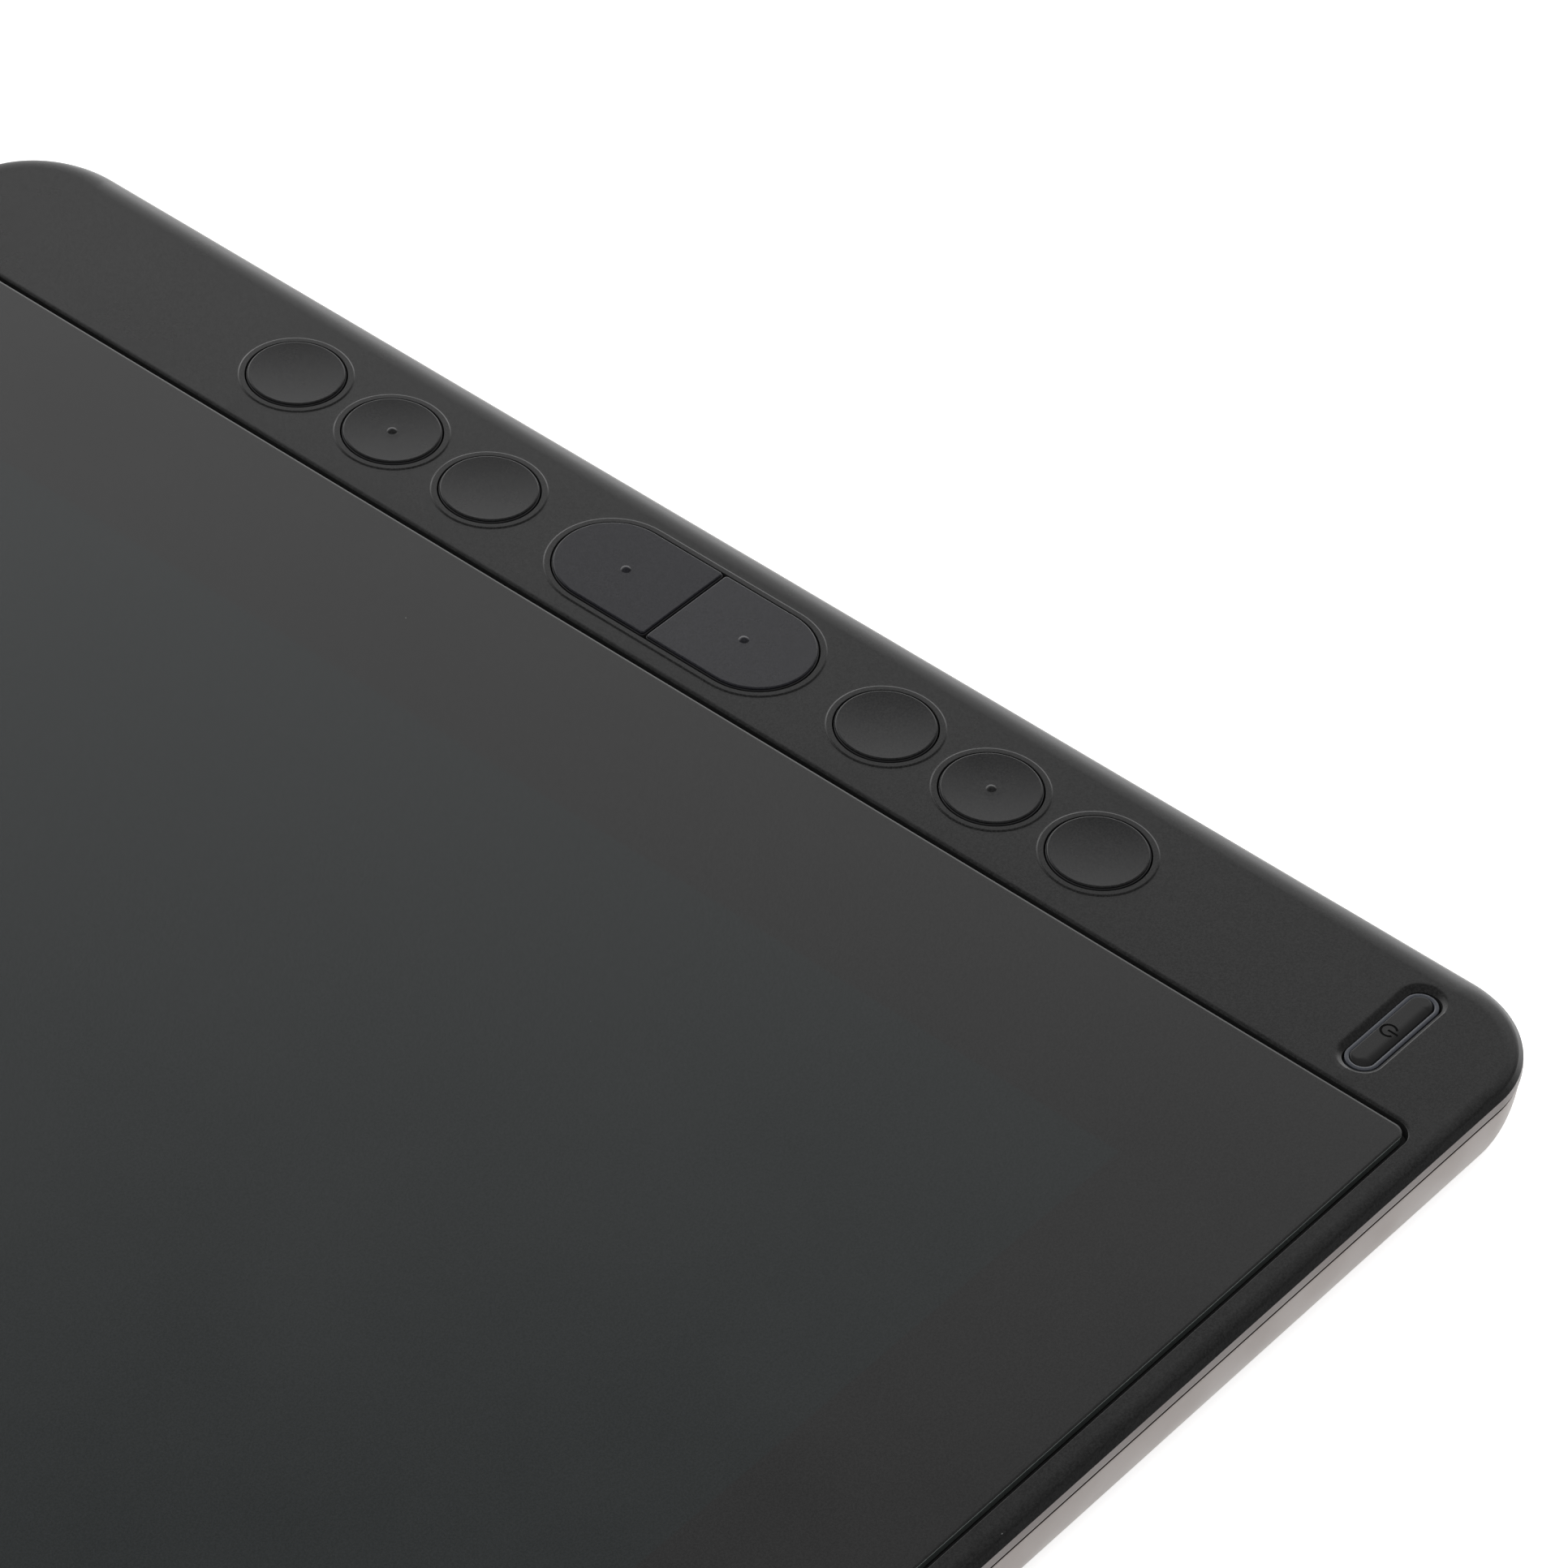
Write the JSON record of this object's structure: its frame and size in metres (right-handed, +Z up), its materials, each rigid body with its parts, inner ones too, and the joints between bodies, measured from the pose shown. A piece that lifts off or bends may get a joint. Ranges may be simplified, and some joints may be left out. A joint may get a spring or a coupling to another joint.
{
  "type": "graphics tablet with screen",
  "caption": "Flat pen display with a bonded cover glass, a strip of sprung press keys along one short side and a power key in a light ring.",
  "frame": {"origin": "middle of the housing seen from above, on the surface that the rubber feet rest on", "axes": "+X along the long side away from the key strip, +Y towards the long side beside the power key, +Z up out of the drawing surface"},
  "size_m": [0.364, 0.2112, 0.0124],
  "materials": {
    "shell_plastic": "fine satin texture, charcoal",
    "key_plastic": "fine satin texture, charcoal",
    "cover_glass": "etched anti-glare front with a dark printed border",
    "black_tape": "matt foam tape",
    "clear_bond": "clear optical bond",
    "panel_glass": "dark panel",
    "white_film": "white film",
    "clear_acrylic": "clear acrylic",
    "sheet_metal": "thin pressed sheet",
    "lamp_strip": "lamp packages on a strip",
    "circuit_board": "green solder mask",
    "chip_plastic": "black moulding compound",
    "socket_metal": "plated socket shell",
    "ivory_plastic": "ivory moulding",
    "flex_film": "amber film cable",
    "light_ring": "smoky translucent ring",
    "screw_steel": "zinc plated",
    "foot_rubber": "matt rubber"
  },
  "bodies": {
    "housing": {"top_shell": "shell_plastic", "bottom_shell": "shell_plastic", "screen_glass": "cover_glass", "glass_tape": "black_tape", "bonding_layer": "clear_bond", "lcd_panel": "panel_glass", "diffuser_sheets": "white_film", "light_guide_plate": "clear_acrylic", "reflector_sheet": "white_film", "backlight_tray": "sheet_metal", "lamp_bar": "lamp_strip", "pen_sensor_board": "circuit_board", "shield_plate": "sheet_metal", "main_board": "circuit_board", "board_chips": "chip_plastic", "chip_shield_can": "sheet_metal", "usb_c_socket_1": "socket_metal", "usb_c_socket_2": "socket_metal", "board_connectors": "ivory_plastic", "display_flex": "flex_film", "sensor_flex": "flex_film", "key_flex": "flex_film", "power_flex": "flex_film", "key_board": "circuit_board", "key_switches": "chip_plastic", "power_light_ring": "light_ring", "power_board": "circuit_board", "power_switch": "chip_plastic", "power_lamp": "lamp_strip", "shell_screws": "screw_steel", "board_screws": "screw_steel", "foot_long_1": "foot_rubber", "foot_long_2": "foot_rubber", "foot_short_1": "foot_rubber", "foot_short_2": "foot_rubber"},
    "round_key_1_body": {"round_key_1": "key_plastic", "round_plunger_1": "ivory_plastic"},
    "round_key_2_body": {"round_key_2": "key_plastic", "round_plunger_2": "ivory_plastic"},
    "round_key_3_body": {"round_key_3": "key_plastic", "round_plunger_3": "ivory_plastic"},
    "round_key_4_body": {"round_key_4": "key_plastic", "round_plunger_4": "ivory_plastic"},
    "round_key_5_body": {"round_key_5": "key_plastic", "round_plunger_5": "ivory_plastic"},
    "round_key_6_body": {"round_key_6": "key_plastic", "round_plunger_6": "ivory_plastic"},
    "pill_key_1_body": {"pill_key_1": "key_plastic", "pill_plunger_1": "ivory_plastic"},
    "pill_key_2_body": {"pill_key_2": "key_plastic", "pill_plunger_2": "ivory_plastic"},
    "power_key_body": {"power_key": "key_plastic", "power_plunger": "ivory_plastic"}
  },
  "joints": [
    {"name": "round_key_1_press", "type": "slide", "parent": "housing", "child": "round_key_1_body", "axis": [0, 0, -1], "range_m": [0, 0.0006], "stiffness_N_per_m": 600},
    {"name": "round_key_2_press", "type": "slide", "parent": "housing", "child": "round_key_2_body", "axis": [0, 0, -1], "range_m": [0, 0.0006], "stiffness_N_per_m": 600},
    {"name": "round_key_3_press", "type": "slide", "parent": "housing", "child": "round_key_3_body", "axis": [0, 0, -1], "range_m": [0, 0.0006], "stiffness_N_per_m": 600},
    {"name": "round_key_4_press", "type": "slide", "parent": "housing", "child": "round_key_4_body", "axis": [0, 0, -1], "range_m": [0, 0.0006], "stiffness_N_per_m": 600},
    {"name": "round_key_5_press", "type": "slide", "parent": "housing", "child": "round_key_5_body", "axis": [0, 0, -1], "range_m": [0, 0.0006], "stiffness_N_per_m": 600},
    {"name": "round_key_6_press", "type": "slide", "parent": "housing", "child": "round_key_6_body", "axis": [0, 0, -1], "range_m": [0, 0.0006], "stiffness_N_per_m": 600},
    {"name": "pill_key_1_press", "type": "slide", "parent": "housing", "child": "pill_key_1_body", "axis": [0, 0, -1], "range_m": [0, 0.0006], "stiffness_N_per_m": 600},
    {"name": "pill_key_2_press", "type": "slide", "parent": "housing", "child": "pill_key_2_body", "axis": [0, 0, -1], "range_m": [0, 0.0006], "stiffness_N_per_m": 600},
    {"name": "power_key_press", "type": "slide", "parent": "housing", "child": "power_key_body", "axis": [0, 0, -1], "range_m": [0, 0.0005], "stiffness_N_per_m": 600}
  ]
}
